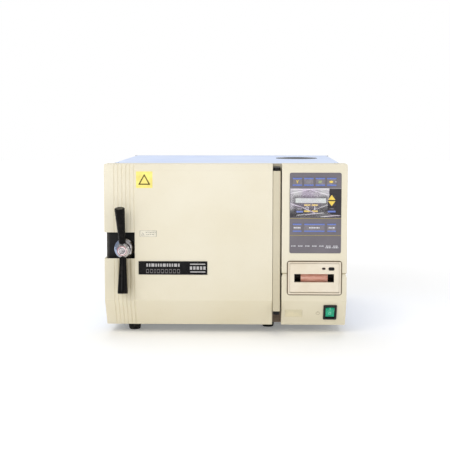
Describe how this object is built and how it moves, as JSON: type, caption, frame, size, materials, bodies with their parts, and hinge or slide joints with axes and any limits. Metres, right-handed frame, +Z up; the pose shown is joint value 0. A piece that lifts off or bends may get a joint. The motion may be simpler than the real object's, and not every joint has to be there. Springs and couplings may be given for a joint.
{
  "type": "benchtop autoclave",
  "caption": "Benchtop steam autoclave with a side-hinged door, a closing handle, a keypad, a label printer, a tray rack, a water tank and a rear drain tap.",
  "frame": {"origin": "on the bench, at the centre of the bounding box's underside, cord left out", "axes": "+X to the right of a person facing the door, front faces -Y, +Z up"},
  "size_m": [0.51, 0.6209, 0.365],
  "materials": {
    "cream_moulding": "satin moulded plastic",
    "blue_white_paint": "satin powder coat",
    "cream_paint": "satin paint",
    "stainless_steel": "brushed",
    "zinc_steel": "zinc plated",
    "black_steel": "semi-gloss black",
    "chrome": "polished",
    "bakelite": "polished bakelite",
    "rubber": "matte",
    "silicone": "matte silicone",
    "brass": "machined",
    "copper": "drawn tube",
    "glass_wool": "felted blanket",
    "tank_plastic": "translucent white",
    "circuit_board": "solder mask",
    "membrane": "printed film",
    "display": "glossy window",
    "printer_plastic": "fine texture",
    "black_plastic": "fine texture",
    "green_plastic": "translucent green",
    "paper": "thermal paper",
    "key_blue": "printed film",
    "key_yellow": "printed film"
  },
  "bodies": {
    "cabinet": {"control_fascia": "cream_moulding", "top_cover": "blue_white_paint", "front_plate": "cream_paint", "chamber_vessel": "stainless_steel", "heater_element": "stainless_steel", "tray_rack": "stainless_steel", "tray_lower": "stainless_steel", "tray_middle": "stainless_steel", "tray_upper": "stainless_steel", "base_pan": "zinc_steel", "rear_panel": "zinc_steel", "closing_catch": "zinc_steel", "hinge_bracket": "black_steel", "foot_front_left": "rubber", "foot_front_right": "rubber", "foot_rear_left": "rubber", "foot_rear_right": "rubber", "safety_valve": "brass", "fill_valve": "brass", "exhaust_valve": "brass", "drain_valve": "brass", "fill_pipe": "copper", "exhaust_pipe": "copper", "insulation_jacket": "glass_wool", "water_reservoir": "tank_plastic", "control_board": "circuit_board", "keypad_overlay": "membrane", "lcd_module": "display", "printer_housing": "printer_plastic", "mains_inlet": "black_plastic", "switch_frame": "black_plastic"},
    "door": {"door_cover": "cream_moulding", "door_bridge": "black_steel", "door_disc": "stainless_steel", "door_gasket": "silicone", "hinge_column": "cream_moulding", "name_plate": "black_plastic"},
    "closing_handle": {"closing_bolt": "zinc_steel", "handle_hub": "chrome", "handle_arm_upper": "bakelite", "handle_arm_lower": "bakelite"},
    "power_rocker": {"power_rocker": "green_plastic"},
    "printer_lid": {"printer_lid": "printer_plastic"},
    "feed_button": {"feed_button": "black_plastic"},
    "paper_roll": {"paper_roll": "paper"},
    "reservoir_cap": {"reservoir_cap": "black_plastic"},
    "drain_lever": {"drain_lever": "black_steel"},
    "key_program_1": {"key_program_1": "key_blue"},
    "key_program_2": {"key_program_2": "key_blue"},
    "key_program_3": {"key_program_3": "key_blue"},
    "key_program_4": {"key_program_4": "key_blue"},
    "key_up": {"key_up": "key_yellow"},
    "key_down": {"key_down": "key_yellow"},
    "key_enter": {"key_enter": "key_blue"},
    "key_time": {"key_time": "key_yellow"},
    "key_temperature": {"key_temperature": "key_yellow"},
    "key_menu": {"key_menu": "key_blue"},
    "key_dry": {"key_dry": "key_blue"},
    "key_start": {"key_start": "key_blue"},
    "key_stop": {"key_stop": "key_blue"}
  },
  "joints": [
    {"name": "door_hinge", "type": "hinge", "parent": "cabinet", "child": "door", "pos_m": [0.1076, -0.26175, 0.2], "axis": [0, 0, 1], "range_deg": [0, 105]},
    {"name": "handle_turn", "type": "hinge", "parent": "door", "child": "closing_handle", "pos_m": [-0.2145, -0.26955, 0.1856], "axis": [0, 1, 0], "range_deg": [0, 90]},
    {"name": "power_switch", "type": "hinge", "parent": "cabinet", "child": "power_rocker", "pos_m": [0.2213, -0.24925, 0.05446], "axis": [-1, 0, 0], "range_deg": [0, 16]},
    {"name": "printer_lid_hinge", "type": "hinge", "parent": "cabinet", "child": "printer_lid", "pos_m": [0.1872, -0.26905, 0.0995], "axis": [1, 0, 0], "range_deg": [0, 80]},
    {"name": "paper_roll_spin", "type": "hinge", "parent": "cabinet", "child": "paper_roll", "pos_m": [0.1872, -0.24255, 0.1262], "axis": [1, 0, 0], "continuous": true},
    {"name": "feed_button_press", "type": "slide", "parent": "printer_lid", "child": "feed_button", "axis": [0, 1, 0], "range_m": [0, 0.0015], "stiffness_N_per_m": 300, "springref_m": -0.001},
    {"name": "reservoir_cap_lift", "type": "slide", "parent": "cabinet", "child": "reservoir_cap", "axis": [0, 0, 1], "range_m": [0, 0.035]},
    {"name": "drain_lever_turn", "type": "hinge", "parent": "cabinet", "child": "drain_lever", "pos_m": [-0.19, 0.30545, 0.062], "axis": [0, 1, 0], "range_deg": [0, 90]},
    {"name": "key_program_1_press", "type": "slide", "parent": "cabinet", "child": "key_program_1", "axis": [0, 1, 0], "range_m": [0, 0.0005], "stiffness_N_per_m": 500, "springref_m": -0.0003},
    {"name": "key_program_2_press", "type": "slide", "parent": "cabinet", "child": "key_program_2", "axis": [0, 1, 0], "range_m": [0, 0.0005], "stiffness_N_per_m": 500, "springref_m": -0.0003},
    {"name": "key_program_3_press", "type": "slide", "parent": "cabinet", "child": "key_program_3", "axis": [0, 1, 0], "range_m": [0, 0.0005], "stiffness_N_per_m": 500, "springref_m": -0.0003},
    {"name": "key_program_4_press", "type": "slide", "parent": "cabinet", "child": "key_program_4", "axis": [0, 1, 0], "range_m": [0, 0.0005], "stiffness_N_per_m": 500, "springref_m": -0.0003},
    {"name": "key_up_press", "type": "slide", "parent": "cabinet", "child": "key_up", "axis": [0, 1, 0], "range_m": [0, 0.0005], "stiffness_N_per_m": 500, "springref_m": -0.0003},
    {"name": "key_down_press", "type": "slide", "parent": "cabinet", "child": "key_down", "axis": [0, 1, 0], "range_m": [0, 0.0005], "stiffness_N_per_m": 500, "springref_m": -0.0003},
    {"name": "key_enter_press", "type": "slide", "parent": "cabinet", "child": "key_enter", "axis": [0, 1, 0], "range_m": [0, 0.0005], "stiffness_N_per_m": 500, "springref_m": -0.0003},
    {"name": "key_time_press", "type": "slide", "parent": "cabinet", "child": "key_time", "axis": [0, 1, 0], "range_m": [0, 0.0005], "stiffness_N_per_m": 500, "springref_m": -0.0003},
    {"name": "key_temperature_press", "type": "slide", "parent": "cabinet", "child": "key_temperature", "axis": [0, 1, 0], "range_m": [0, 0.0005], "stiffness_N_per_m": 500, "springref_m": -0.0003},
    {"name": "key_menu_press", "type": "slide", "parent": "cabinet", "child": "key_menu", "axis": [0, 1, 0], "range_m": [0, 0.0005], "stiffness_N_per_m": 500, "springref_m": -0.0003},
    {"name": "key_dry_press", "type": "slide", "parent": "cabinet", "child": "key_dry", "axis": [0, 1, 0], "range_m": [0, 0.0005], "stiffness_N_per_m": 500, "springref_m": -0.0003},
    {"name": "key_start_press", "type": "slide", "parent": "cabinet", "child": "key_start", "axis": [0, 1, 0], "range_m": [0, 0.0005], "stiffness_N_per_m": 500, "springref_m": -0.0003},
    {"name": "key_stop_press", "type": "slide", "parent": "cabinet", "child": "key_stop", "axis": [0, 1, 0], "range_m": [0, 0.0005], "stiffness_N_per_m": 500, "springref_m": -0.0003}
  ]
}
